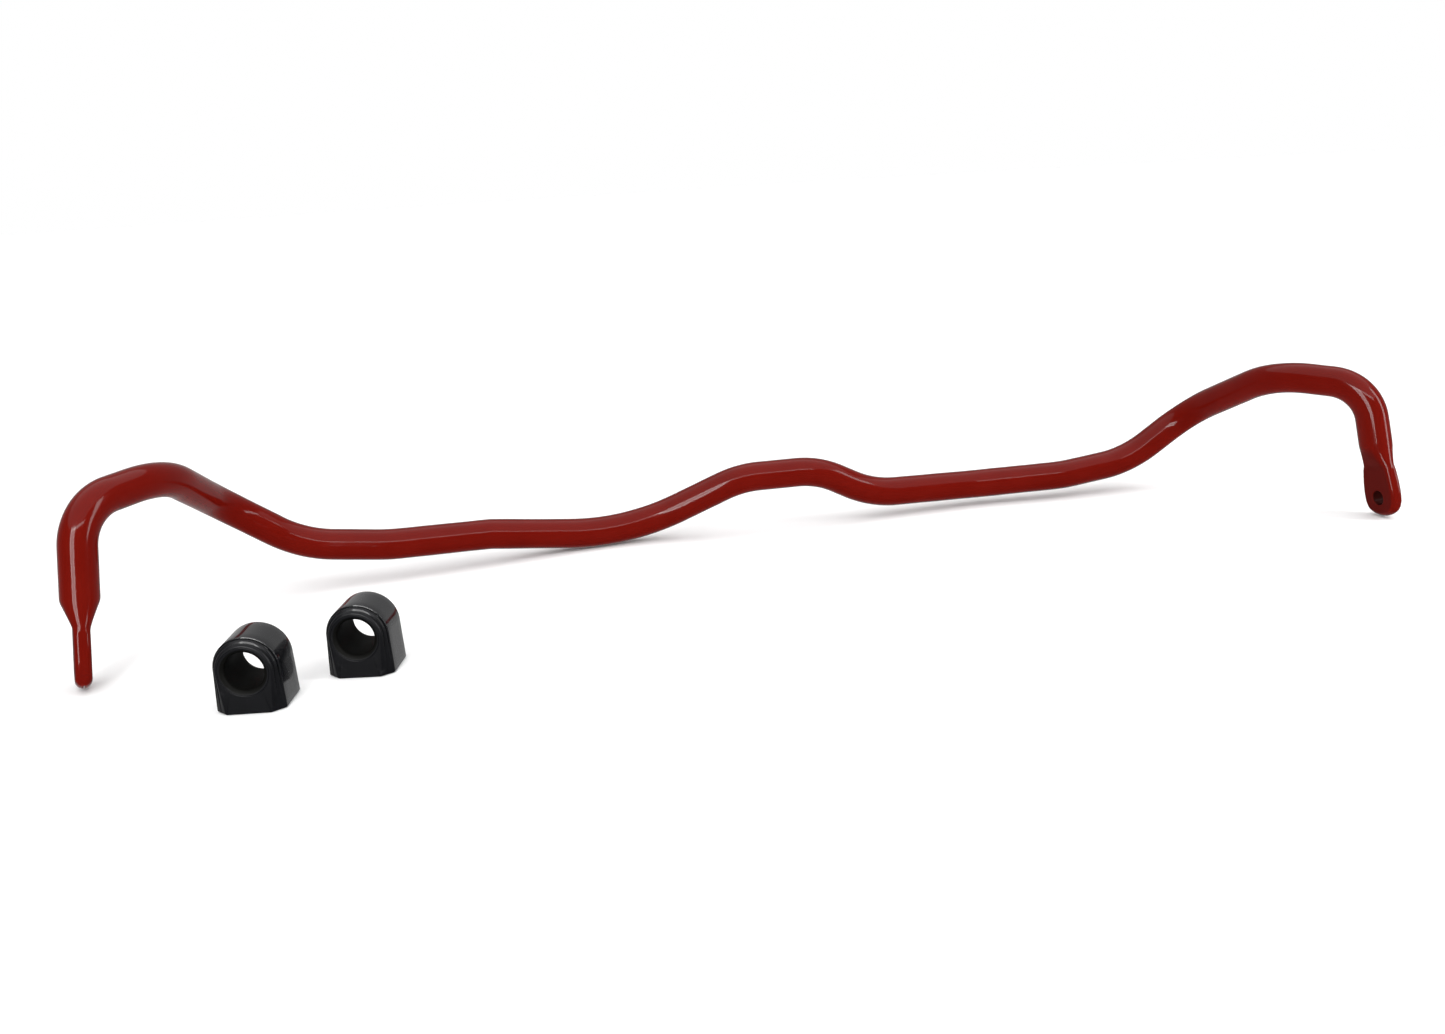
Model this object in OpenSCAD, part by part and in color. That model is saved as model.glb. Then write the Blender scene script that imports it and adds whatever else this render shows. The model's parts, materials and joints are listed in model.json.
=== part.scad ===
// Car sway bar: one bent steel bar with a flattened eye at each end,
// and the two D-shaped bushes that carry it, lying loose beside it.
// Millimetres. X runs along the bar, -Y is the side the arms point to,
// Z is up. The floor is Z = 0, the arms' mirror plane is X = 0, and the
// origin is on the floor under the middle of the whole layout.

/* [Bar] */
// Diameter of the round bar
bar_d = 24; // [20:0.5:29]
// How much the bar swells where it is bent, in radius
bend_swell = 0.2; // [0.15:0.05:0.4]
// Distance between the centres of the two elbows
span = 934; // [910:2:1130]
// How far the elbows stand in front of the bar's middle
reach = 156; // [145:1:190]
// Height of the elbows above the floor, before the lean
elbow_h = 108; // [92:1:130]
// How much longer the left leg is than the right one
leg_extra = 12.5; // [0:0.5:16]

/* [Bend points of both arms] */
// Inner end of the journal: distance from the mirror plane, distance in
// front of the bar's middle, and height before the lean
journal_start = [206.5, -1.5, 20.5]; // [-12:0.5:220]
// Outer end of the journal: the same three distances
journal_end = [285.5, 6.5, 22.5]; // [0:0.5:300]
// Root of the arm: the same three distances
arm_root = [349.5, 3, 29]; // [0:0.5:360]
// Top of the arm's rise: the same three distances
arm_rise = [403.5, 12.5, 69.5]; // [0:0.5:415]
// Shoulder of the arm: the same three distances
shoulder = [422.5, 101.5, 112.5]; // [90:0.5:435]
// Bend radius on the centre line at the inner end of the journal
journal_start_r = 60; // [40:1:80]
// Bend radius on the centre line at the outer end of the journal
journal_end_r = 120; // [60:1:150]
// Bend radius on the centre line at the root of the arm
arm_root_r = 80; // [60:1:90]
// Bend radius on the centre line at the top of the arm's rise
arm_rise_r = 49; // [40:1:55]
// Bend radius on the centre line at the shoulder
shoulder_r = 78; // [45:1:82]
// Bend radius on the centre line at the elbow
elbow_r = 34; // [28:1:36]

/* [Hump in the middle] */
// Where the flat crest begins, left of the mirror plane when negative
crest_x = 0; // [-10:1:10]
// Length of the flat crest
crest_len = 67; // [60:1:75]
// Height of the crest's centre line
crest_h = 46.5; // [42:0.5:52]
// Distance from the mirror plane to the dip left of the crest
dip_x = 96; // [90:1:102]
// How far the dip sets back
dip_back = 15; // [0:1:18]
// How far the dip's corner lies below the middle of a bar on the floor; the
// bend rounds it off, so that the bar itself just touches the floor
dip_sink = 6.4; // [3:0.1:7]
// Distance from the mirror plane to the step right of the crest
step_x = 114; // [110:1:124]
// Height of the step's corner
step_h = 22; // [18:0.5:26]
// Bend radius on the centre line at the dip
dip_r = 160; // [120:5:165]
// Bend radius on the centre line at both ends of the crest
crest_r = 75; // [50:1:80]
// Bend radius on the centre line at the step
step_r = 90; // [60:5:100]

/* [Legs and eyes] */
// Outward splay of each leg, in degrees
leg_splay = 5; // [0:0.5:8]
// Forward rake of each leg, in degrees
leg_rake = 11; // [0:0.5:14]
// Turn of the left eye about its leg, towards the front, in degrees
eye_turn_left = 15; // [0:1:25]
// Turn of the right eye about its leg, towards the front, in degrees
eye_turn_right = 0; // [0:1:25]
// Thickness of the flattened eye
eye_t = 10; // [8:0.5:12]
// Width of the flattened eye at its widest
eye_w = 33; // [29:0.5:40]
// Distance from the tip to the eye's widest place
eye_belly = 19; // [16:0.5:23]
// Radius of the eye's bulging sides, from the widest place to the tip
eye_side_r = 60; // [48:1:80]
// Length of the evenly thick part, from the taper to the tip
eye_flat = 39; // [34:1:46]
// Length of the taper from round bar to flat eye
eye_taper = 17; // [12:1:20]
// Radius of the eye's rounded end
eye_end_r = 22; // [19:0.5:27]
// Distance from the tip to the centre of the link hole
eye_edge = 15; // [13:0.5:18]
// Diameter of the link hole
eye_hole_d = 11; // [9.5:0.1:13]

/* [Bushes] */
// Length of the D-shaped body along the bore
bush_body = 28; // [23:1:34]
// How far the boss on each end stands out from the body
bush_boss = 6; // [4:0.5:7.5]
// Height of the bore's centre above the flat base
bush_h = 26; // [23:0.5:31]
// Radius of the round top of the D
bush_top_r = 20; // [18:0.5:24]
// Width of the flat base
bush_base_w = 42; // [38:0.5:50]
// Radius of the boss around the bore, at its outer face
bush_boss_r = 17; // [15:0.5:17.5]
// Width of the boss at the base, at its outer face
bush_boss_w = 28; // [24:0.5:32]
// How far the root of the boss stands in from the body's outline
bush_shoulder = 1.5; // [0.8:0.1:2]
// Chamfer at both mouths of the bore
bush_chamfer = 1.8; // [0.8:0.1:2.4]
// Radial clearance between the bar and a bush
bush_clearance = 0.05; // [0.02:0.01:0.1]

/* [Places of the loose bushes] */
// Left bush: its X, its distance in front of the bar's middle, and the turn
// of its bore in degrees
bush_left_at = [-364, 241, 11.5]; // [-400:0.5:400]
// Right bush: the same three values
bush_right_at = [-300, 205, 14.5]; // [-400:0.5:400]

/* [Hidden] */
$fn = 64;
bar_r = bar_d / 2;
// Where the bar's middle runs, so that the origin is under the whole layout
middle_y = 120;
// Gap between the two halves of the bar, at the twist joint in the crest
twist_gap = 0.3;
// The longer left leg tips the bar by this slope, so that both eyes and
// the dip all stand on the floor
lean = leg_extra / span;
eye_overlap = 1;
// Width at which the narrowing plate disappears inside the round leg, and
// the radius of the sides that narrow it there from its widest place
eye_root_w = 1.5 * bar_r;
eye_narrowing = (eye_w - eye_root_w) / 2;
eye_neck_len = eye_flat + eye_taper - eye_belly;
eye_neck_side_r = (pow(eye_neck_len, 2) + pow(eye_narrowing, 2)) / (2 * eye_narrowing);
// How far a straight run reaches into the bend at its end
bend_overlap = 0.5;
bush_bore_r = bar_r + bush_clearance;
bush_len = bush_body + 2 * bush_boss;
boss_skin = 0.2;

// The lean lowers a point on the right and raises one on the left
function lean_over(p) = [p[0], p[1], p[2] - lean * p[0]];
// A bend point of an arm, on side -1 (left) or 1 (right)
function bend_at(point, side) = lean_over([side * point[0], -point[1], point[2]]);
function unit(v) = v / norm(v);
function bend_angle(a, b, c) = acos(unit(b - a) * unit(c - b));

// Direction of a leg, and the normal and width directions of its eye
function leg_dir(side) = unit([side * tan(leg_splay), -tan(leg_rake), -1]);
function eye_outward(side) = let (d = leg_dir(side), x = [side, 0, 0]) unit(x - (x * d) * d);
function eye_turn(side) = side < 0 ? eye_turn_left : eye_turn_right;
function eye_normal(side) = eye_outward(side) * cos(eye_turn(side))
    + side * cross(leg_dir(side), eye_outward(side)) * sin(eye_turn(side));
function eye_width(side) = cross(leg_dir(side), eye_normal(side));

// Height of the end arc's centre when the eye stands on the floor
function arc_h(side) = let (nz = eye_normal(side)[2])
    eye_end_r * sqrt(1 - nz * nz) + eye_t / 2 * abs(nz);
function elbow(side) = bend_at([span / 2, reach, elbow_h], side);
function arc_centre(side) = elbow(side)
    + leg_dir(side) * (elbow(side)[2] - arc_h(side)) / abs(leg_dir(side)[2]);
function eye_tip(side) = arc_centre(side) + leg_dir(side) * eye_end_r;

dip = lean_over([-dip_x, dip_back, bar_r - dip_sink]);
crest_left = lean_over([crest_x, 0, crest_h]);
crest_right = lean_over([crest_x + crest_len, 0, crest_h]);
step = lean_over([step_x, 0, step_h]);
crest_dir = unit(crest_right - crest_left);
crest_mid = (crest_left + crest_right) / 2;

// Bend points of each half, from the twist joint out to the tip of the eye
function arm(side) = [for (point = [journal_start, journal_end, arm_root, arm_rise, shoulder])
    bend_at(point, side)];
arm_radii = [journal_start_r, journal_end_r, arm_root_r, arm_rise_r, shoulder_r, elbow_r];
left_points = concat([crest_mid - crest_dir * twist_gap / 2, crest_left, dip],
    arm(-1), [elbow(-1), eye_tip(-1)]);
left_radii = concat([crest_r, dip_r], arm_radii);
right_points = concat([crest_mid + crest_dir * twist_gap / 2, crest_right, step],
    arm(1), [elbow(1), eye_tip(1)]);
right_radii = concat([crest_r, step_r], arm_radii);

// Length that a bend takes off each of its two straight runs
function setback(p, r, i) = (i <= 0 || i >= len(p) - 1) ? 0
    : r[i - 1] * tan(bend_angle(p[i - 1], p[i], p[i + 1]) / 2);

// Puts children with their local X, Y and Z along three directions at p
module place(p, x, y, z) {
    multmatrix([[x[0], y[0], z[0], p[0]], [x[1], y[1], z[1], p[1]], [x[2], y[2], z[2], p[2]]])
        children();
}

// Round bar bent along the points p with centre-line radii r. The last run
// is the leg, which belongs to the eye.
module bent_bar(p, r) {
    for (i = [0 : len(p) - 3]) straight_run(p, r, i);
    for (i = [1 : len(p) - 2]) bend(p[i - 1], p[i], p[i + 1], r[i - 1]);
}

module straight_run(p, r, i) {
    z = unit(p[i + 1] - p[i]);
    x = unit(cross(z, [0.3, 0.5, 0.8]));
    start = setback(p, r, i) - (i == 0 ? 0 : bend_overlap);
    stop = setback(p, r, i + 1) - bend_overlap;
    run = norm(p[i + 1] - p[i]) - start - stop;
    place(p[i] + z * start, x, cross(z, x), z) cylinder(h = run, r = bar_r);
}

module bend(a, b, c, r) {
    turn = bend_angle(a, b, c);
    run_in = unit(b - a);
    axis = unit(cross(run_in, unit(c - b)));
    out = cross(run_in, axis);
    centre = b - run_in * r * tan(turn / 2) - out * r;
    place(centre, out, run_in, axis)
        rotate_extrude(angle = turn) translate([r, 0]) circle(r = bar_r + bend_swell);
}

// Round leg of the given length with its flattened end, standing on the
// eye's tip: local X is the eye's thickness, Y its width, Z up the leg
module eye(side, leg) {
    place(eye_tip(side), eye_normal(side), eye_width(side), -leg_dir(side)) difference() {
        union() {
            intersection() {
                translate([0, 0, eye_flat - eye_overlap])
                    cylinder(h = leg - eye_flat + eye_overlap, r = bar_r);
                rotate([90, 0, 0]) linear_extrude(height = 3 * bar_r, center = true)
                    flattening_outline(leg);
            }
            rotate([0, -90, 0]) linear_extrude(height = eye_t, center = true) eye_outline();
        }
        translate([-eye_t, 0, eye_edge]) rotate([0, 90, 0])
            cylinder(h = 2 * eye_t, d = eye_hole_d);
    }
}

// Side view of the leg: flat at the eye, widening along the taper
module flattening_outline(leg) {
    widen = eye_taper / (bar_r - eye_t / 2);
    past = bar_r + 1;
    taper_top = eye_flat + widen * (past - eye_t / 2);
    polygon([[-eye_t / 2, 0], [eye_t / 2, 0], [eye_t / 2, eye_flat], [past, taper_top],
        [past, leg + 1], [-past, leg + 1], [-past, taper_top], [-eye_t / 2, eye_flat]]);
}

// Face view of the eye: round end, bulging sides, then narrowing into the leg
module eye_outline() {
    intersection() {
        between_arcs(eye_side_r);
        translate([eye_end_r, 0]) circle(r = eye_end_r);
        translate([0, -eye_w]) square([eye_belly, 2 * eye_w]);
    }
    intersection() {
        between_arcs(eye_neck_side_r);
        translate([eye_belly, -eye_w]) square([eye_flat + eye_taper - eye_belly, 2 * eye_w]);
    }
}

// The strip between two side arcs of radius r, widest at the eye's belly
module between_arcs(r) {
    intersection_for (side = [-1, 1])
        translate([eye_belly, side * (r - eye_w / 2)]) circle(r = r);
}

module bar_half(points, radii, side) {
    bend_end = setback(points, radii, len(points) - 2);
    color("firebrick") translate([0, middle_y, 0]) {
        bent_bar(points, radii);
        eye(side, norm(elbow(side) - eye_tip(side)) - bend_end + bend_overlap);
    }
}

module bar_left() {
    bar_half(left_points, left_radii, -1);
}

module bar_right() {
    bar_half(right_points, right_radii, 1);
}

// D outline with the bore's centre at the origin and its base on Y = -bush_h
module d_outline(top_r, base_w) {
    difference() {
        circle(r = top_r);
        translate([-top_r - 1, -top_r - 1]) square([2 * top_r + 2, top_r + 1]);
    }
    polygon([[-top_r, 0], [top_r, 0], [base_w / 2, -bush_h], [-base_w / 2, -bush_h]]);
}

// Boss on one end of the bush, drawn in from the body's outline to its own
module bush_boss_solid() {
    hull() {
        translate([0, 0, bush_body / 2 - boss_skin]) linear_extrude(height = boss_skin, $fn = 48)
            d_outline(bush_top_r - bush_shoulder, bush_base_w - 2 * bush_shoulder);
        translate([0, 0, bush_len / 2 - boss_skin]) linear_extrude(height = boss_skin, $fn = 48)
            d_outline(bush_boss_r, bush_boss_w);
    }
}

// Bush standing on its flat base, with its bore along Y
module bush() {
    translate([0, 0, bush_h]) rotate([90, 0, 0]) difference() {
        union() {
            linear_extrude(height = bush_body, center = true)
                d_outline(bush_top_r, bush_base_w);
            for (end = [-1, 1]) scale([1, 1, end]) bush_boss_solid();
        }
        cylinder(h = bush_len + 2, r = bush_bore_r, center = true);
        for (end = [-1, 1]) scale([1, 1, end]) bore_mouth();
    }
}

// Cutter for the chamfer at one mouth of the bore
module bore_mouth() {
    translate([0, 0, bush_len / 2 - bush_chamfer])
        cylinder(h = 2 * bush_chamfer, r1 = bush_bore_r, r2 = bush_bore_r + 2 * bush_chamfer);
}

module bush_left() {
    color("#1c1c1e") stand(bush_left_at) bush();
}

module bush_right() {
    color("#1c1c1e") stand(bush_right_at) bush();
}

module stand(at) {
    translate([at[0], middle_y - at[1], 0]) rotate([0, 0, -at[2]]) children();
}

bar_left();
bar_right();
bush_left();
bush_right();
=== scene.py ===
import json
import math

import bmesh
import bpy
import numpy as np
from mathutils import Matrix, Vector


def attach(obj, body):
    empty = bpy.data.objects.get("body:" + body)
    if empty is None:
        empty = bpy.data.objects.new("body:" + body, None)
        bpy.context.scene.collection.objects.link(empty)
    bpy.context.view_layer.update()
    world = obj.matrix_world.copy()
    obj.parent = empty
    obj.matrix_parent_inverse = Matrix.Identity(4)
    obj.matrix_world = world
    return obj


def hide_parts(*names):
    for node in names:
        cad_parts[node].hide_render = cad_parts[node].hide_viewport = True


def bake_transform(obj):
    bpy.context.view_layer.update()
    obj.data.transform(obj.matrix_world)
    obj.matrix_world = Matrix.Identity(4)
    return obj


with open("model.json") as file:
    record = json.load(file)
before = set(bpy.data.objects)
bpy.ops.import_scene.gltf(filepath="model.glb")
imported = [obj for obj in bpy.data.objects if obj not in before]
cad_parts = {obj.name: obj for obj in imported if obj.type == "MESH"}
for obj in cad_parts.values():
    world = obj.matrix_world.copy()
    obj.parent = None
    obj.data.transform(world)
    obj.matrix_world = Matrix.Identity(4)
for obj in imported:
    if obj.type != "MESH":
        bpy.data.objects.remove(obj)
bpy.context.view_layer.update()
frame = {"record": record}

MM = 0.001
mounts = {mount["name"]: mount for mount in frame["record"]["mounts"]}


# ---------------------------------------------------------------- sizes of the steel bar

BAR_R = 12 * MM
SPAN = 934 * MM
LEG_EXTRA = 12.5 * MM
MIDDLE_Y = 120 * MM
LEG_SPLAY = math.radians(5)
LEG_RAKE = math.radians(11)

# Distance from the mirror plane, distance in front of the middle, height, bend radius (mm)
ARM_BENDS = (
    (206.5, -1.5, 20.5, 60), (285.5, 6.5, 22.5, 120), (349.5, 3.0, 29.0, 80),
    (403.5, 12.5, 69.5, 49), (422.5, 101.5, 112.5, 78), (467.0, 156.0, 108.0, 34),
)
HUMP_BENDS = ((-96, -15, 5.6, 160), (0, 0, 46.5, 75), (67, 0, 46.5, 75), (114, 0, 22, 90))
CREST = (HUMP_BENDS[1], HUMP_BENDS[2])

# The flattened eye; its places are distances from its tip
EYE_T = 10 * MM
EYE_W = 33 * MM
EYE_BELLY = 19 * MM
EYE_SIDE_R = 60 * MM
EYE_END_R = 22 * MM
EYE_END_BLEND = (2 * MM, 13 * MM)
EYE_CORNER_R = 1.6 * MM
EYE_FACE_EDGE_R = 3.4 * MM
EYE_FLAT = 39 * MM
EYE_TAPER = 17 * MM
EYE_TAPER_EASE = 2.0 * MM
EYE_FACE_FADE = (50 * MM, 58 * MM)
EYE_HOLE_PLACE = 15 * MM
EYE_HOLE_R = 5.5 * MM
HOLE_LIP = 0.7 * MM
HOLE_RIM = 0.3 * MM
LEG_SEAM = 70 * MM
LEG_REACH = 20 * MM

# Laps of steel at the pinched neck: place and extent, then waves for each mm
LAP_PLACE = 39.5 * MM
LAP_LENGTH = 3.2 * MM
LAP_BREADTH = 3.0 * MM
LAP_DEPTH = 0.42 * MM
LAP_SIDE = 9 * MM
LAP_WAVES_ALONG = 1.9
LAP_WAVES_ACROSS = 1.3

# The mesh of the bar; the rings of a forging run from a height down to a height (mm)
RING_POINTS = 56
RING_SPACING = 2.6 * MM
BEND_STEPS = 40
OUT_OF_ROUND = 0.010
SWELLS_PER_METRE = 32.0
FORGED_RINGS = ((66, 60, 2.0), (60, 34, 0.8), (34, 9, 1.6), (9, 2, 0.45))
NOSE_RINGS = (1.9, 1.5, 1.15, 0.85, 0.6, 0.4, 0.24, 0.12, 0.05, 0.012)
# Shares of a ring's quarter turn that lie along an eye's face and along its narrow side
FACE_TURN = math.radians(35)
SIDE_TURN = math.radians(10)
# How early in the taper the section's edges grow towards the round bar's radius
EDGE_GROWTH = 0.6
DRILL_FACETS = 48
DRILL_REACH = 4 * MM
BAR_CREASE = 32
MERGE_DISTANCE = 1e-6


def route_point(across, front, height):
    """A point of the bar's centre line; the longer left leg tips the whole bar."""
    return Vector((across, MIDDLE_Y - front * MM, height * MM - LEG_EXTRA / SPAN * across))


def link_hole(side):
    return mounts["link_hole_left" if side < 0 else "link_hole_right"]


def leg_frame(side):
    """Direction down the leg, then the normal, the width direction and the tip of its eye."""
    down = Vector((side * math.tan(LEG_SPLAY), -math.tan(LEG_RAKE), -1)).normalized()
    normal = Vector(link_hole(side)["axis"]).normalized()
    tip = Vector(link_hole(side)["pos_m"]) + down * EYE_HOLE_PLACE
    return down, normal, down.cross(normal), tip


def leg_end(side):
    """Where the bent run stops and the forged end of the leg takes over."""
    down, _, _, tip = leg_frame(side)
    return tip - down * LEG_SEAM


# ---------------------------------------------------------------- mesh helpers

def new_object(name, mesh):
    thing = bpy.data.objects.new(name, mesh)
    bpy.context.scene.collection.objects.link(thing)
    return thing


def mesh_from(shape, name):
    mesh = bpy.data.meshes.new(name)
    shape.to_mesh(mesh)
    shape.free()
    return mesh


def join_rings(shape, first, second):
    """A band of four-sided faces between two closed rings of vertices."""
    count = len(first)
    for j in range(count):
        k = (j + 1) % count
        shape.faces.new((first[j], first[k], second[k], second[j]))


def crease_by_angle(mesh, degrees):
    """Smooth shading, with the edges that turn further than this kept crisp."""
    shape = bmesh.new()
    shape.from_mesh(mesh)
    for face in shape.faces:
        face.smooth = True
    for edge in shape.edges:
        edge.smooth = edge.calc_face_angle(0.0) < math.radians(degrees)
    shape.to_mesh(mesh)
    shape.free()


def point_attribute(mesh, name, values):
    attribute = mesh.attributes.new(name, "FLOAT", "POINT")
    attribute.data.foreach_set("value", np.asarray(values, np.float32))


def coordinates(mesh):
    return np.array([v.co for v in mesh.vertices], float).reshape(-1, 3)


def clamp(value):
    return min(max(value, 0.0), 1.0)


def smoothstep(low, high, value):
    t = np.clip((value - low) / (high - low), 0, 1)
    return t * t * (3 - 2 * t)


def fall(radius, off):
    """How far a circle drops below its crown at this distance to the side."""
    return radius - math.sqrt(radius ** 2 - off ** 2)


# ---------------------------------------------------------------- nodes

class Value:
    """A socket that can be used in plain arithmetic; each operation adds a Math node."""

    def __init__(self, finish, socket):
        self.finish, self.socket = finish, socket

    def _math(self, operation, first, second):
        node = self.finish.add("ShaderNodeMath", {"operation": operation}, {0: first, 1: second})
        return Value(self.finish, node.outputs[0])

    def __add__(self, other):
        return self._math("ADD", self, other)

    def __radd__(self, other):
        return self._math("ADD", other, self)

    def __sub__(self, other):
        return self._math("SUBTRACT", self, other)

    def __rsub__(self, other):
        return self._math("SUBTRACT", other, self)

    def __mul__(self, other):
        return self._math("MULTIPLY", self, other)

    def __rmul__(self, other):
        return self._math("MULTIPLY", other, self)


def set_stops(ramp, stops):
    """The stops of a grey ramp, each a place and a brightness."""
    while len(ramp.elements) < len(stops):
        ramp.elements.new(0.5)
    for element, (place, grey) in zip(ramp.elements, stops):
        element.position = place
        element.color = (grey, grey, grey, 1)


def add_node(tree, kind, settings, inputs):
    """A node of this kind: its settings are made first, then its sockets' values and links."""
    node = tree.nodes.new(kind)
    for key, setting in settings.items():
        if key == "stops":
            set_stops(node.color_ramp, setting)
        else:
            setattr(node, key, setting)
    for key, given in inputs.items():
        source = given.socket if isinstance(given, Value) else given
        if isinstance(source, bpy.types.NodeSocket):
            tree.links.new(source, node.inputs[key])
        else:
            node.inputs[key].default_value = source
    return node


class Finish:
    """A node material, built up one node at a time."""

    # Places of the Mix node's colour sockets
    FIRST_COLOUR, SECOND_COLOUR, MIXED_COLOUR = 6, 7, 2

    def __init__(self, name):
        self.material = bpy.data.materials.new(name)
        self.material.use_nodes = True
        self.tree = self.material.node_tree
        self.tree.nodes.clear()

    def add(self, kind, settings, inputs):
        return add_node(self.tree, kind, settings, inputs)

    def place(self, stretch=None):
        where = self.add("ShaderNodeTexCoord", {}, {}).outputs["Object"]
        if stretch is None:
            return where
        return self.add("ShaderNodeMapping", {}, {"Vector": where, "Scale": stretch}).outputs[0]

    def noise(self, scale, detail=2.0, roughness=0.5, stretch=None, distortion=0.0):
        node = self.add("ShaderNodeTexNoise", {"noise_dimensions": "3D"}, {
            "Vector": self.place(stretch), "Scale": scale, "Detail": detail,
            "Roughness": roughness, "Distortion": distortion})
        return Value(self, node.outputs[0])

    def spots(self, scale):
        node = self.add("ShaderNodeTexVoronoi", {}, {
            "Vector": self.place(), "Scale": scale, "Randomness": 1.0})
        return Value(self, node.outputs["Distance"])

    def mask(self, source, *stops):
        node = self.add("ShaderNodeValToRGB", {"stops": stops}, {"Fac": source})
        return Value(self, node.outputs[0])

    def attribute(self, name):
        node = self.add("ShaderNodeAttribute", {"attribute_name": name}, {})
        return Value(self, node.outputs["Fac"])

    def tint(self, amount, first, second):
        """Two colours mixed; each is a socket, or its red, green and blue."""
        first, second = (colour if isinstance(colour, bpy.types.NodeSocket) else (*colour, 1)
                         for colour in (first, second))
        node = self.add("ShaderNodeMix", {"data_type": "RGBA"}, {
            0: amount, self.FIRST_COLOUR: first, self.SECOND_COLOUR: second})
        return node.outputs[self.MIXED_COLOUR]

    def bump(self, height, distance, strength, under=None):
        inputs = {"Height": height, "Distance": distance, "Strength": strength}
        if under is not None:
            inputs["Normal"] = under
        return self.add("ShaderNodeBump", {}, inputs).outputs[0]

    def finish(self, **inputs):
        shader = self.add("ShaderNodeBsdfPrincipled", {}, {
            key.replace("_", " "): given for key, given in inputs.items()})
        self.add("ShaderNodeOutputMaterial", {}, {"Surface": shader.outputs[0]})
        return self.material


# ---------------------------------------------------------------- materials

def red_powder_coat():
    """Gloss red powder coat over forged steel: orange peel, nibs, duller pressed faces, and
    painted shade that darkens the pressed faces and the drilled hole.
    """
    coat = Finish("red_powder_coat")
    pressed = coat.attribute("pressed")
    rim = coat.attribute("rim")
    flow = coat.noise(38, detail=3, roughness=0.55)
    peel = coat.noise(520, detail=2, roughness=0.45)
    ripple = coat.noise(110, detail=2, roughness=0.5, distortion=0.3)
    nibs = coat.mask(coat.spots(330), (0.0, 1.0), (0.10, 0.0))
    sparse = coat.mask(coat.noise(70, detail=1), (0.58, 0.0), (0.66, 1.0))
    nibs = nibs * sparse
    handling = coat.mask(coat.noise(24, detail=6, roughness=0.72), (0.56, 0.0), (0.72, 1.0))
    deep = coat.tint(flow, (0.098, 0.0028, 0.0012), (0.128, 0.0052, 0.0026))
    # Painted shade: the pressed faces are painted a darker red, as they fall darker under the
    # lights
    thick = coat.tint(pressed * 0.75, deep, (0.070, 0.0048, 0.0036))
    # Painted shade: the drilled hole's bore and a thin ring round it are painted near black, as
    # shade inside the hole
    hole_shaded = coat.tint(rim * 0.9, thick, (0.010, 0.0024, 0.0020))
    paint = coat.tint(nibs * 0.5, hole_shaded, (0.22, 0.020, 0.016))
    roughness = 0.15 + 0.07 * handling + 0.05 * flow + 0.26 * pressed + 0.10 * nibs
    skin = coat.bump(ripple, distance=0.00030, strength=0.30)
    skin = coat.bump(peel, distance=0.00006, strength=0.35, under=skin)
    skin = coat.bump(nibs, distance=0.00010, strength=0.5, under=skin)
    return coat.finish(
        Base_Color=paint, Roughness=roughness, Normal=skin, IOR=1.07,
        Coat_Weight=(0.95 - 0.80 * pressed) * (1 - rim), Coat_Roughness=0.07, Coat_IOR=1.19)


def black_polyurethane():
    """Cast polyurethane: glossy outside, duller end faces, faint scuffs and dust."""
    cast = Finish("black_polyurethane")
    end_face = cast.attribute("end_face")
    cloud = cast.noise(60, detail=4, roughness=0.6)
    skin_grain = cast.noise(900, detail=2, roughness=0.5)
    sway = cast.noise(75, detail=1)
    scuff = cast.mask(cast.noise(180, detail=5, roughness=0.7, stretch=(1, 0.25, 1)),
                      (0.60, 0.0), (0.74, 1.0))
    dust = cast.mask(cast.spots(480), (0.0, 1.0), (0.09, 0.0))
    sparse = cast.mask(cast.noise(90, detail=1), (0.56, 0.0), (0.64, 1.0))
    dust = dust * sparse
    black = cast.tint(cloud, (0.0030, 0.0031, 0.0038), (0.0055, 0.0057, 0.0070))
    scuffed = cast.tint(scuff * 0.5, black, (0.022, 0.022, 0.024))
    dusty = cast.tint(dust * 0.5, scuffed, (0.10, 0.10, 0.10))
    roughness = 0.20 + 0.06 * cloud + 0.16 * scuff + 0.16 * end_face
    skin = cast.bump(sway, distance=0.00020, strength=0.25)
    skin = cast.bump(skin_grain, distance=0.00004, strength=0.30, under=skin)
    return cast.finish(
        Base_Color=dusty, Roughness=roughness, Normal=skin, IOR=1.16,
        Coat_Weight=0.90 - 0.86 * end_face, Coat_Roughness=0.08, Coat_IOR=1.46)


def bore_black():
    """The dull inside of the bore, where the core pin came out, with grease on it; its black is a
    little darker than the outside's, as painted shade in the deep bore.
    """
    bore = Finish("bore_black")
    smear = bore.noise(140, detail=4, roughness=0.6, stretch=(1, 0.4, 1))
    # Painted shade: a slightly darker black than the outside; the smear is grease
    colour = bore.tint(smear, (0.0022, 0.0022, 0.0020), (0.0045, 0.0044, 0.0036))
    return bore.finish(Base_Color=colour, Roughness=0.45 + 0.25 * smear, IOR=1.12,
                       Normal=bore.bump(smear, distance=0.0002, strength=0.3))


def studio_floor():
    """Matt white card."""
    card = Finish("studio_floor")
    mottle = card.noise(3.0, detail=3)
    grain = card.noise(400, detail=2)
    colour = card.tint(mottle, (0.90, 0.90, 0.90), (0.93, 0.93, 0.93))
    return card.finish(Base_Color=colour, Roughness=0.95, IOR=1.05,
                       Normal=card.bump(grain, distance=0.0002, strength=0.1))


RED = red_powder_coat()
BLACK = black_polyurethane()
BORE = bore_black()


# ---------------------------------------------------------------- the bar's bent run

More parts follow.
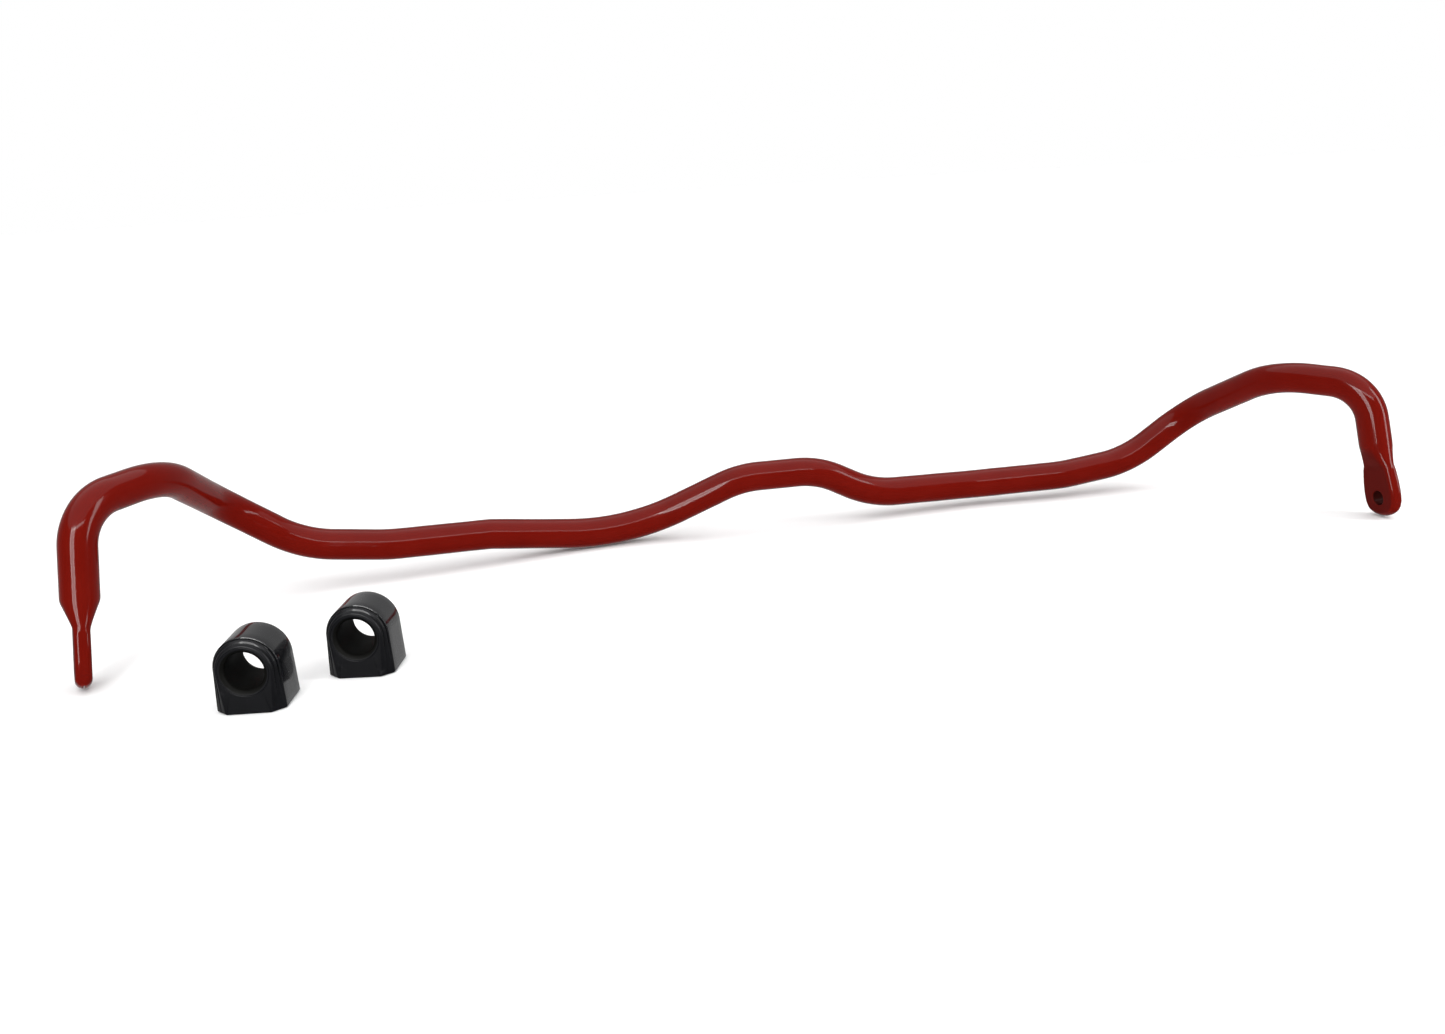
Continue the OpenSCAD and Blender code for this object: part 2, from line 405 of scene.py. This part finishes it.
def sweep_tree():
    """Geometry nodes that bend round bar along a line of corners with a radius at each."""
    tree = bpy.data.node_groups.new("bend_round_bar", "GeometryNodeTree")
    for name, kind, default in (
            ("Corners", "Geometry", None), ("Bar radius", "Float", BAR_R),
            ("Ring spacing", "Float", RING_SPACING), ("Out of round", "Float", OUT_OF_ROUND),
            ("Ring points", "Int", RING_POINTS), ("Steps in a bend", "Int", BEND_STEPS),
            ("Paint", "Material", None)):
        socket = tree.interface.new_socket(name, in_out="INPUT", socket_type="NodeSocket" + kind)
        if default is not None:
            socket.default_value = default
    tree.interface.new_socket("Bar", in_out="OUTPUT", socket_type="NodeSocketGeometry")

    def node(kind, inputs, **settings):
        return add_node(tree, kind, settings, inputs)

    given = node("NodeGroupInput", {}).outputs
    line = node("GeometryNodeMeshToCurve", {"Mesh": given["Corners"]})
    radius = node("GeometryNodeInputNamedAttribute", {"Name": "bend_radius"}, data_type="FLOAT")
    bent = node("GeometryNodeFilletCurve", {
        "Curve": line.outputs["Curve"], "Radius": radius.outputs["Attribute"],
        "Count": given["Steps in a bend"]}, mode="POLY")
    even = node("GeometryNodeResampleCurve", {
        "Curve": bent.outputs[0], "Length": given["Ring spacing"]}, mode="LENGTH")
    along = node("GeometryNodeSplineParameter", {})
    drawn = node("ShaderNodeTexNoise", {
        "W": along.outputs["Length"], "Scale": SWELLS_PER_METRE, "Detail": 1.0},
        noise_dimensions="1D")
    least, most = (node("ShaderNodeMath", {0: 1.0, 1: given["Out of round"]}, operation=operation)
                   for operation in ("SUBTRACT", "ADD"))
    swell = node("ShaderNodeMapRange", {
        "Value": drawn.outputs[0], "To Min": least.outputs[0], "To Max": most.outputs[0]})
    thick = node("GeometryNodeSetCurveRadius", {
        "Curve": even.outputs[0], "Radius": swell.outputs[0]})
    ring = node("GeometryNodeCurvePrimitiveCircle", {
        "Resolution": given["Ring points"], "Radius": given["Bar radius"]}, mode="RADIUS")
    tube = node("GeometryNodeCurveToMesh", {
        "Curve": thick.outputs[0], "Profile Curve": ring.outputs[0]})
    # Without this socket the node takes the curve's radius by itself
    if "Scale" in tube.inputs:
        own_radius = node("GeometryNodeInputRadius", {})
        tree.links.new(own_radius.outputs[0], tube.inputs["Scale"])
    smooth = node("GeometryNodeSetShadeSmooth", {"Geometry": tube.outputs[0]})
    real = node("GeometryNodeRealizeInstances", {"Geometry": smooth.outputs[0]})
    painted = node("GeometryNodeSetMaterial", {
        "Geometry": real.outputs[0], "Material": given["Paint"]})
    node("NodeGroupOutput", {0: painted.outputs[0]})
    return tree


def bar_corners():
    """Corners of the whole bar from the left leg to the right one, with bend radii."""
    left_arm = tuple((-across, *rest) for across, *rest in reversed(ARM_BENDS))
    bends = left_arm + HUMP_BENDS + ARM_BENDS
    corners = [route_point(across * MM, front, height) for across, front, height, _ in bends]
    radii = [radius * MM for *_, radius in bends]
    return [leg_end(-1), *corners, leg_end(1)], [0.0, *radii, 0.0]


def swept_bar():
    corners, radii = bar_corners()
    line = bpy.data.meshes.new("bar_corners")
    line.from_pydata(corners, [(i, i + 1) for i in range(len(corners) - 1)], [])
    point_attribute(line, "bend_radius", radii)
    maker = new_object("bar_maker", line)
    modifier = maker.modifiers.new("bend", "NODES")
    tree = sweep_tree()
    modifier.node_group = tree
    sockets = {item.name: item.identifier for item in tree.interface.items_tree
               if item.item_type == "SOCKET" and item.in_out == "INPUT"}
    modifier[sockets["Bar radius"]] = BAR_R
    modifier[sockets["Paint"]] = RED
    seen = maker.evaluated_get(bpy.context.evaluated_depsgraph_get())
    mesh = bpy.data.meshes.new_from_object(seen)
    bpy.data.objects.remove(maker)
    return mesh


# ---------------------------------------------------------------- the forged eyes

def mean_around(shape, place, reach, samples=9):
    """The shape function averaged over a short stretch, which rounds its corners."""
    steps = [place + reach * (2 * i / (samples - 1) - 1) for i in range(samples)]
    return sum(shape(step) for step in steps) / samples


def half_thickness(z):
    """Even over the pressed face, growing along the taper, with a bull nose at the tip."""
    nose = EYE_T / 2

    def pressed(place):
        return nose + (BAR_R - nose) * clamp((place - EYE_FLAT) / EYE_TAPER)

    body = mean_around(pressed, z, EYE_TAPER_EASE)
    if z < nose:
        body = min(body, math.sqrt(nose ** 2 - (nose - z) ** 2))
    return body


def half_width(z):
    """Bulging sides below the widest place, and an even narrowing into the leg above it."""
    widest = EYE_W / 2
    if z >= EYE_BELLY:
        ease = float(smoothstep(EYE_BELLY, EYE_FLAT + EYE_TAPER, z))
        return widest + (BAR_R - widest) * ease
    side = widest - fall(EYE_SIDE_R, EYE_BELLY - z)
    if z < EYE_CORNER_R:
        side -= fall(EYE_CORNER_R, EYE_CORNER_R - z)
    return side


def end_sag(z, v):
    """How much higher a ring runs towards its sides, so that the tip is a shallow arc."""
    return (1 - float(smoothstep(*EYE_END_BLEND, z))) * fall(EYE_END_R, v)


def edge_radius(half_t, half_w):
    """Radius along the eye's edges, which grows up the taper until the section is round."""
    t = clamp((half_t - EYE_T / 2) / (BAR_R - EYE_T / 2))
    radius = EYE_FACE_EDGE_R + (BAR_R - EYE_FACE_EDGE_R) * t ** EDGE_GROWTH
    return min(radius, half_t, half_w)


def ring_spot(turn, half_t, half_w):
    """A point of the eye's section: rounded oblong when pressed flat, circle in the round bar."""
    corner = edge_radius(half_t, half_w)
    roundness = clamp((corner - EYE_FACE_EDGE_R) / (BAR_R - EYE_FACE_EDGE_R))
    quarter = math.asin(min(abs(math.sin(turn)), 1.0))
    along_face = min(quarter / FACE_TURN, 1.0)
    along_side = min((math.pi / 2 - quarter) / SIDE_TURN, 1.0)
    arc = (quarter - FACE_TURN) / (math.pi / 2 - FACE_TURN - SIDE_TURN)
    arc = clamp(arc) * math.pi / 2
    arc += (quarter - arc) * roundness
    u = (half_t - corner) * along_side + corner * math.cos(arc)
    v = (half_w - corner) * along_face + corner * math.sin(arc)
    return math.copysign(u, math.cos(turn)), math.copysign(v, math.sin(turn))


def ring_heights():
    """Heights of the forging's rings above the tip, closest where it turns most."""
    stretches = [np.arange(top, bottom, -step) for top, bottom, step in FORGED_RINGS]
    return np.concatenate([*stretches, NOSE_RINGS]) * MM


def neck_wrinkle(z, u, v, side):
    """Small laps of steel where the dies pinched the neck, on the eye's narrow sides."""
    if abs(v) <= LAP_SIDE:
        return 0.0
    along = math.exp(-((z - LAP_PLACE) / LAP_LENGTH) ** 2)
    across = math.exp(-(u / LAP_BREADTH) ** 2)
    wave = (math.sin(z / MM * LAP_WAVES_ALONG + side)
            * math.cos(u / MM * LAP_WAVES_ACROSS + 0.6 * side))
    return LAP_DEPTH * along * across * wave


def forge_eye(shape, side):
    """Grows the bar's open end on this side into a flattened eye, down to the tip."""
    down, normal, width, tip = leg_frame(side)
    start = leg_end(side)
    rim = [v for v in shape.verts if v.is_boundary and (v.co - start).length < 1.5 * BAR_R]

    def turn_of(vert):
        offset = vert.co - start
        return math.atan2(offset.dot(width), offset.dot(normal)) % (2 * math.pi)

    rim.sort(key=turn_of)
    count = len(rim)
    ring_turns = [(j + 0.5) * 2 * math.pi / count for j in range(count)]
    shift = min(range(count), key=lambda s: sum(
        abs(math.remainder(turn_of(rim[(j + s) % count]) - ring_turns[j], 2 * math.pi))
        for j in range(count)))
    above = [rim[(j + shift) % count] for j in range(count)]
    for z in ring_heights():
        half_t, half_w = half_thickness(z), half_width(z)
        ring = []
        for turn in ring_turns:
            u, v = ring_spot(turn, half_t, half_w)
            v += math.copysign(neck_wrinkle(z, u, v, side), v)
            height = z + end_sag(z, v)
            ring.append(shape.verts.new(tip - down * height + normal * u + width * v))
        join_rings(shape, above, ring)
        above = ring
    shape.faces.new(above)


def hole_cutter(side):
    """A drill with a small countersink at both faces of the eye."""
    _, normal, width, _ = leg_frame(side)
    centre = Vector(link_hole(side)["pos_m"])
    third = normal.cross(width)
    half = EYE_T / 2
    outer_r = EYE_HOLE_R + HOLE_LIP + DRILL_REACH
    profile = ((-half - DRILL_REACH, outer_r), (-half + HOLE_LIP, EYE_HOLE_R),
               (half - HOLE_LIP, EYE_HOLE_R), (half + DRILL_REACH, outer_r))
    shape = bmesh.new()
    rings = []
    for along, radius in profile:
        ring = []
        for j in range(DRILL_FACETS):
            turn = 2 * math.pi * j / DRILL_FACETS
            spoke = width * math.cos(turn) + third * math.sin(turn)
            ring.append(shape.verts.new(centre + normal * along + spoke * radius))
        rings.append(ring)
    for low, high in zip(rings, rings[1:]):
        join_rings(shape, low, high)
    shape.faces.new(list(reversed(rings[0])))
    shape.faces.new(rings[-1])
    bmesh.ops.recalc_face_normals(shape, faces=shape.faces)
    return new_object("drill", mesh_from(shape, "drill"))


def drill_eyes(bar):
    for side in (-1, 1):
        cutter = hole_cutter(side)
        cut = bar.modifiers.new("hole", "BOOLEAN")
        cut.operation = "DIFFERENCE"
        cut.solver = "EXACT"
        cut.object = cutter
        seen = bar.evaluated_get(bpy.context.evaluated_depsgraph_get())
        drilled = bpy.data.meshes.new_from_object(seen)
        bar.modifiers.clear()
        bar.data = drilled
        bpy.data.objects.remove(cutter)


def mark_forging(mesh):
    """Where the dies pressed the steel flat, and the drilled hole's bore with a thin ring round
    it: masks for duller gloss and for painted shade.
    """
    spots = coordinates(mesh)
    normals = np.array([v.normal for v in mesh.vertices], float)
    pressed = np.zeros(len(spots))
    rim = np.zeros(len(spots))
    for side in (-1, 1):
        down, normal, width, tip = leg_frame(side)
        offset = spots - np.array(tip)
        z = -offset @ np.array(down)
        u = offset @ np.array(normal)
        v = offset @ np.array(width)
        near = (z < LEG_SEAM) & (np.abs(u) < LEG_REACH) & (np.abs(v) < LEG_REACH)
        facing = smoothstep(0.80, 0.97, np.abs(normals @ np.array(normal)))
        on_face = facing * (1 - smoothstep(*EYE_FACE_FADE, z))
        pressed = np.where(near, on_face, pressed)
        # The hole's bore and a thin ring round it, which the paint darkens as painted shade
        bored = np.hypot(z - EYE_HOLE_PLACE, v) < EYE_HOLE_R + HOLE_RIM
        rim = np.where(bored & near, 1.0, rim)
    point_attribute(mesh, "pressed", pressed)
    point_attribute(mesh, "rim", rim)


def steel_bar():
    mesh = swept_bar()
    shape = bmesh.new()
    shape.from_mesh(mesh)
    bmesh.ops.remove_doubles(shape, verts=shape.verts, dist=MERGE_DISTANCE)
    for side in (-1, 1):
        forge_eye(shape, side)
    bmesh.ops.recalc_face_normals(shape, faces=shape.faces)
    shape.to_mesh(mesh)
    shape.free()
    bar = new_object("sway_bar", mesh)
    drill_eyes(bar)
    crease_by_angle(bar.data, BAR_CREASE)
    mark_forging(bar.data)
    bar.data.materials.clear()
    bar.data.materials.append(RED)
    return bar


# ---------------------------------------------------------------- the bushes

BUSH_H = 26 * MM
BUSH_TOP_R = 20 * MM
BUSH_BASE_HALF = 21 * MM
BUSH_FOOT_R = 0.9 * MM
BUSH_CREASE = 38

# Distance from the bush's middle, radius of the round top, half width at the base (mm)
BUSH_SKIN = (
    (0, 20, 21), (7, 20, 21), (13.3, 20, 21), (13.6, 19.95, 20.97), (13.85, 19.82, 20.86),
    (13.97, 19.62, 20.7), (14, 19.3, 20.6), (14, 18.6, 20.55), (14.25, 18.3, 20.35),
    (14.8, 18.85, 19.75), (15.4, 19.0, 19.1), (16.0, 18.85, 18.4), (16.5, 18.45, 17.85),
    (16.75, 18.0, 17.55), (16.85, 17.35, 17.4), (17.0, 17.0, 17.2), (17.6, 17.4, 16.5),
    (18.2, 17.45, 15.8), (18.8, 17.25, 15.15), (19.3, 16.95, 14.6), (19.7, 16.6, 14.15),
    (19.93, 16.25, 13.8), (20, 15.9, 13.5),
)
# Distance from the bush's middle and radius, from the end face into the bore (mm)
BUSH_MOUTH = (
    (20, 15.5), (19.84, 15.38), (19.76, 15.2), (19.84, 15.02), (20, 14.9), (20, 14.1),
    (19.9, 13.85), (18.4, 12.2), (18.1, 12.05), (14, 12.05), (7, 12.05), (0, 12.05),
)
# From this radius inwards the surface belongs to the bore
BORE_EDGE_R = 13.95 * MM
# Where the duller finish comes in, over the boss and then over the end face
BOSS_FADE, END_FADE = (13.8 * MM, 14.3 * MM), (18.7 * MM, 19.7 * MM)
TOP_STEPS, SIDE_STEPS, BASE_STEPS, FOOT_STEPS = 52, 6, 8, 4


def d_ring(top_r, half_base):
    """Outline of the D around the bore's centre: round top, straight sides, flat base."""
    turns = [math.pi * i / TOP_STEPS for i in range(TOP_STEPS + 1)]
    top = [Vector((top_r * math.cos(turn), top_r * math.sin(turn))) for turn in turns]
    foot = Vector((-half_base, -BUSH_H))
    side = Vector((-top_r, 0)) - foot
    setback = BUSH_FOOT_R / math.tan(abs(side.angle_signed(Vector((1, 0)))) / 2)
    side_stop = foot + side.normalized() * setback
    base_start = foot + Vector((setback, 0))
    centre = base_start + Vector((0, BUSH_FOOT_R))
    left = [Vector((-top_r, 0)).lerp(side_stop, i / SIDE_STEPS) for i in range(1, SIDE_STEPS)]
    from_turn = math.atan2(side_stop.y - centre.y, side_stop.x - centre.x) % (2 * math.pi)
    for i in range(FOOT_STEPS + 1):
        turn = from_turn + (1.5 * math.pi - from_turn) * i / FOOT_STEPS
        left.append(centre + Vector((math.cos(turn), math.sin(turn))) * BUSH_FOOT_R)
    base = [base_start.lerp(Vector((-base_start.x, base_start.y)), i / BASE_STEPS)
            for i in range(1, BASE_STEPS)]
    right = [Vector((-p.x, p.y)) for p in reversed(left)]
    return top + left + base + right


def bush(name):
    """A cast bush: D body, stepped and drafted boss at each end, ring line, eased bore."""
    bore = mounts["bush_bore_" + name.split("_")[1]]
    centre = Vector(bore["pos_m"])
    along = Vector(bore["axis"]).normalized()
    up = Vector((0, 0, 1))
    across = along.cross(up)
    turns = [math.atan2(p.y, p.x) for p in d_ring(BUSH_TOP_R, BUSH_BASE_HALF)]
    half = [(y * MM, d_ring(r * MM, w * MM)) for y, r, w in BUSH_SKIN]
    half += [(y * MM, [Vector((math.cos(t), math.sin(t))) * r * MM for t in turns])
             for y, r in BUSH_MOUTH]
    loop = half + [(-y, ring) for y, ring in reversed(half)][1:-1]
    shape = bmesh.new()
    rings = [[shape.verts.new(centre + along * y + across * p.x + up * p.y) for p in ring]
             for y, ring in loop]
    for ring, following in zip(rings, rings[1:] + rings[:1]):
        join_rings(shape, ring, following)
    bmesh.ops.remove_doubles(shape, verts=shape.verts, dist=MERGE_DISTANCE)
    bmesh.ops.recalc_face_normals(shape, faces=shape.faces)
    mesh = mesh_from(shape, name)
    crease_by_angle(mesh, BUSH_CREASE)
    distance = np.abs((coordinates(mesh) - np.array(centre)) @ np.array(along))
    on_boss, on_end = smoothstep(*BOSS_FADE, distance), smoothstep(*END_FADE, distance)
    point_attribute(mesh, "end_face", 0.8 * on_boss + 0.2 * on_end)
    mesh.materials.append(BLACK)
    mesh.materials.append(BORE)
    for face in mesh.polygons:
        offset = face.center - centre
        if (offset - along * offset.dot(along)).length < BORE_EDGE_R:
            face.material_index = 1
    return new_object(name, mesh)


# ---------------------------------------------------------------- pieces on their bodies

bar = steel_bar()
route_point(CREST[0][0] * MM, 0, CREST[0][2])
route_point(CREST[1][0] * MM, 0, CREST[1][2])
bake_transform(bar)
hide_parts("bar_left", "bar_right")

for body in ("bush_left", "bush_right"):
    piece = bush(body + "_cast")
    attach(piece, body)
    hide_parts(body)


# ---------------------------------------------------------------- studio

FLOOR_R = 14.0
FLOOR_GAP = 0.0004
# How far back a direction into the room points where the pale wall begins and is full
WALL_START, WALL_FULL = -0.25, 0.55
LEFT_STAND = {"place": (-1.15, -2.15, 0.85), "target": (-0.35, 0, 0.1)}
RIGHT_STAND = {"place": (1.9, -1.0, 0.85), "target": (0.0, 0, 0.1)}
FRONT_BOOM = {"place": (-0.1, -1.9, 1.35), "target": (0.0, 0.1, 0.05)}


def floor_disc():
    """One large floor, left out of reflections so that the gloss stays dark underneath."""
    shape = bmesh.new()
    bmesh.ops.create_circle(shape, cap_ends=True, segments=96, radius=FLOOR_R,
                            matrix=Matrix.Translation((0, 0, -FLOOR_GAP)))
    mesh = mesh_from(shape, "studio_floor")
    mesh.materials.append(studio_floor())
    disc = new_object("studio_floor", mesh)
    disc.visible_glossy = False
    return disc


def soft_box(name, place, target, size, power):
    light = bpy.data.lights.new(name, "AREA")
    light.shape = "RECTANGLE"
    light.size, light.size_y = size
    light.energy = power
    lamp = new_object(name, light)
    aim = (Vector(target) - Vector(place)).to_track_quat("-Z", "Y")
    lamp.matrix_world = Matrix.Translation(place) @ aim.to_matrix().to_4x4()
    return lamp


def glint_box(name, place, target, size, power):
    """A soft box that only shows as a highlight on gloss."""
    lamp = soft_box(name, place, target, size, power)
    lamp.visible_diffuse = False
    lamp.visible_camera = False


def broad_sun(power, tilt, width):
    """The ceiling light: very soft, and even over the whole floor; angles in degrees."""
    light = bpy.data.lights.new("ceiling", "SUN")
    light.energy = power
    light.angle = math.radians(width)
    lamp = new_object("ceiling", light)
    lamp.rotation_euler = (math.radians(tilt), 0, 0)


def studio_room(front, back, seen):
    """A room that is pale behind the object and dim in front of it, and plain white itself."""
    world = bpy.data.worlds.new("studio")
    bpy.context.scene.world = world
    world.use_nodes = True
    tree = world.node_tree
    direction = add_node(tree, "ShaderNodeTexCoord", {}, {}).outputs["Generated"]
    parts = add_node(tree, "ShaderNodeSeparateXYZ", {}, {0: direction})
    depth = add_node(tree, "ShaderNodeMapRange", {}, {
        "Value": parts.outputs["Y"], "From Min": WALL_START, "From Max": WALL_FULL,
        "To Min": front, "To Max": back})
    direct = add_node(tree, "ShaderNodeLightPath", {}, {}).outputs["Is Camera Ray"]
    pick = add_node(tree, "ShaderNodeMix", {}, {0: direct, 2: depth.outputs[0], 3: seen})
    background = tree.nodes["Background"]
    tree.links.new(pick.outputs[0], background.inputs["Strength"])
    background.inputs["Color"].default_value = (1, 1, 1, 1)


floor = floor_disc()
studio_room(front=0.10, back=0.42, seen=1.0)
broad_sun(power=3.05, tilt=8, width=100)
soft_box("left_softbox", size=(0.55, 1.6), power=36, **LEFT_STAND)
soft_box("right_softbox", size=(0.45, 1.6), power=28, **RIGHT_STAND)
glint_box("left_glint", size=(0.85, 1.6), power=135, **LEFT_STAND)
glint_box("right_glint", size=(0.45, 1.6), power=40, **RIGHT_STAND)
glint_box("front_glint", size=(2.4, 0.16), power=18, **FRONT_BOOM)


# ---------------------------------------------------------------- camera

def set_camera(place, yaw, pitch, roll, focal, image_width):
    """Stands the camera and turns it, with the angles in degrees."""
    yaw, pitch, roll = math.radians(yaw), math.radians(pitch), math.radians(roll)
    right = Vector((math.cos(yaw), math.sin(yaw), 0))
    forward = Vector((-math.sin(yaw) * math.cos(pitch), math.cos(yaw) * math.cos(pitch),
                      -math.sin(pitch)))
    upward = right.cross(forward)
    turned_right = right * math.cos(roll) + upward * math.sin(roll)
    turned_up = upward * math.cos(roll) - right * math.sin(roll)
    camera = bpy.data.cameras.new("camera")
    camera.sensor_fit = "HORIZONTAL"
    camera.sensor_width = 36.0
    camera.lens = focal * camera.sensor_width / image_width
    camera.clip_start, camera.clip_end = 0.01, 100
    eye = new_object("camera", camera)
    axes = Matrix((turned_right, turned_up, -forward)).transposed().to_4x4()
    eye.matrix_world = Matrix.Translation(place) @ axes
    bpy.context.scene.camera = eye


set_camera((-0.2456, -0.9297, 0.3011), yaw=-12.30, pitch=14.91, roll=-3.53,
           focal=1342, image_width=1445)
bpy.context.scene.view_settings.view_transform = "Standard"
